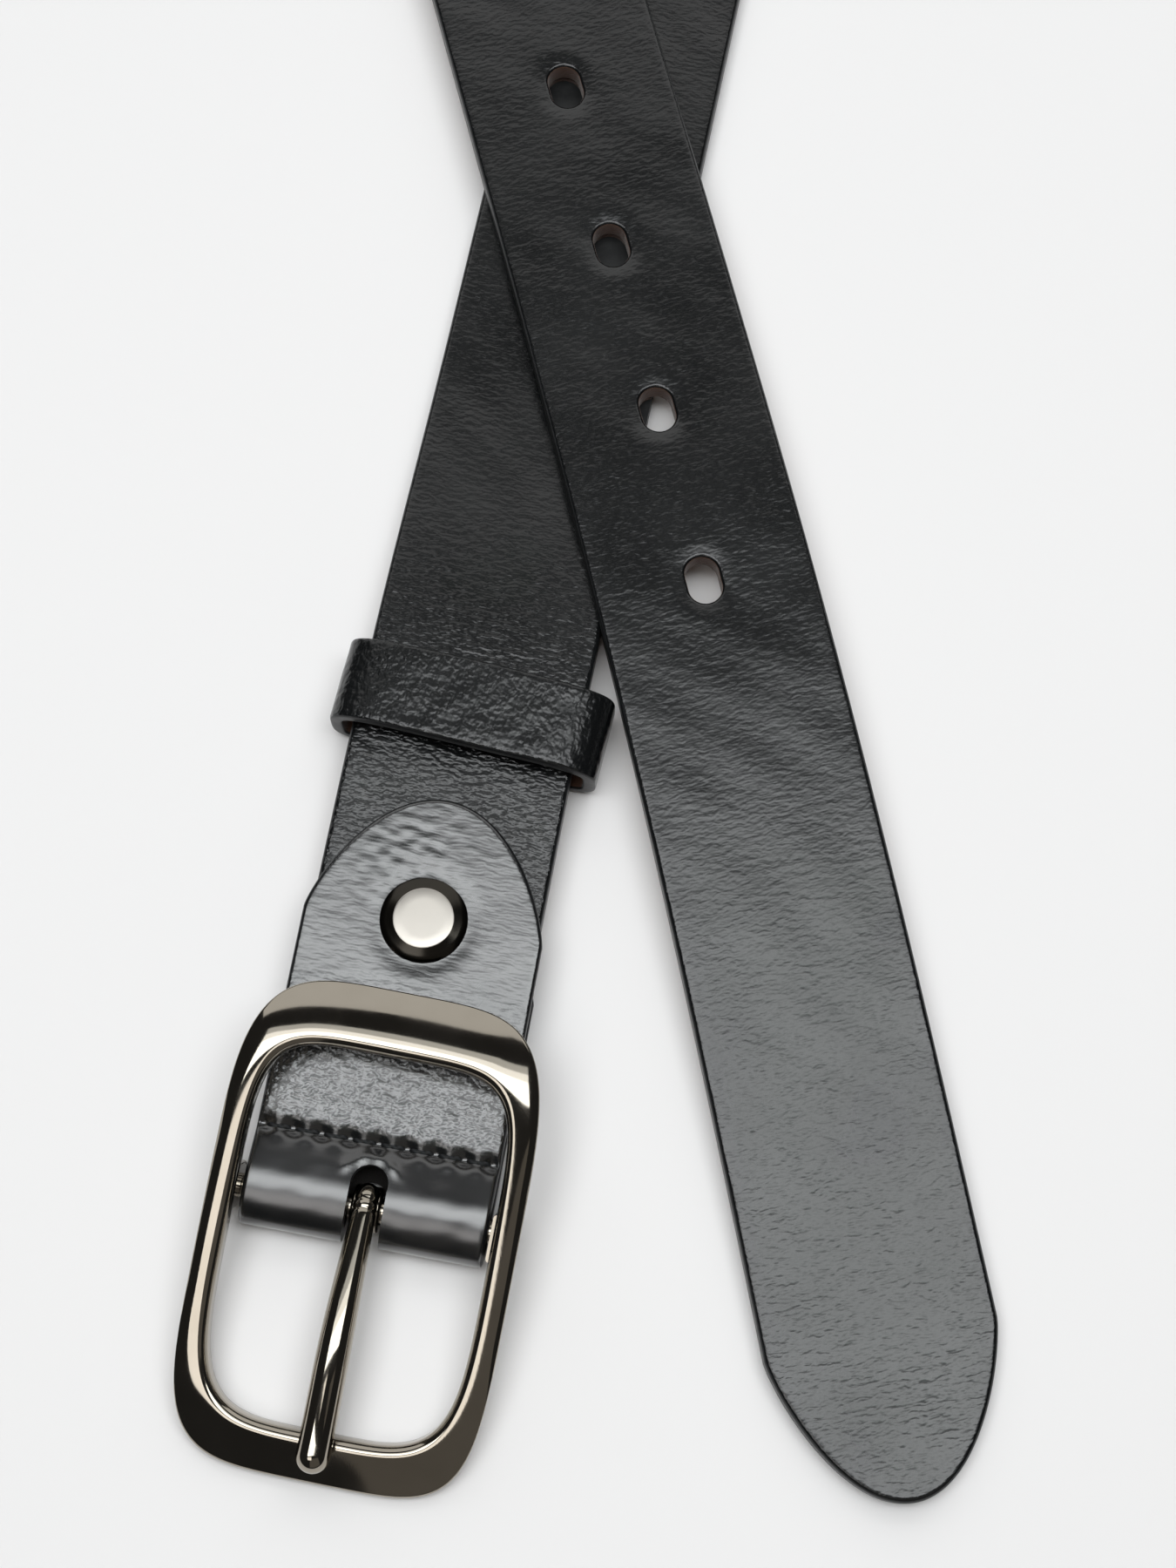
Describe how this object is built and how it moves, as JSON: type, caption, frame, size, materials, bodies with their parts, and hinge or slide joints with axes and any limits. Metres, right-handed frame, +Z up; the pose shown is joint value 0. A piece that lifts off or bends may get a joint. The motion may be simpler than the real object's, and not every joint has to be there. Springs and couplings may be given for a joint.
{
  "type": "leather belt",
  "caption": "Black leather dress belt with a polished gunmetal swing buckle, riveted chape and sliding keeper, laid flat with its strap crossed and looped.",
  "frame": {"origin": "middle of the belt's footprint, on the surface it lies on", "axes": "+Y from the buckle and tip to the far end of the loop, +Z up, +X to the right"},
  "size_m": [0.169, 0.5162, 0.0302],
  "materials": {
    "grain_leather": "semi-gloss finished grain",
    "lining_leather": "matte split",
    "chape_leather": "semi-gloss finished grain",
    "thread": "waxed polyester thread",
    "rivet_nickel": "satin nickel plate",
    "gunmetal": "polished black nickel",
    "staple_steel": "plain wire"
  },
  "bodies": {
    "strap": {"strap_face": "grain_leather", "strap_lining": "lining_leather", "chape": "chape_leather", "chape_stitching": "thread", "rivet_cap": "rivet_nickel", "rivet_post": "rivet_nickel", "rivet_back": "rivet_nickel"},
    "frame": {"buckle_frame": "gunmetal", "buckle_bar": "gunmetal"},
    "tongue": {"tongue": "gunmetal"},
    "keeper": {"keeper_band": "chape_leather", "keeper_staple": "staple_steel"}
  },
  "joints": [
    {"name": "frame_swing", "type": "hinge", "parent": "strap", "child": "frame", "pos_m": [-0.0224, -0.2219, 0.0035], "axis": [0.9833, -0.1822, 0], "range_deg": [-8, 85]},
    {"name": "tongue_lift", "type": "hinge", "parent": "frame", "child": "tongue", "pos_m": [-0.0224, -0.2219, 0.0035], "axis": [-0.9833, 0.1822, 0], "range_deg": [0, 94]},
    {"name": "keeper_slide", "type": "slide", "parent": "strap", "child": "keeper", "axis": [0.1907, 0.9817, 0], "range_m": [-0.014, 0.0005]}
  ]
}
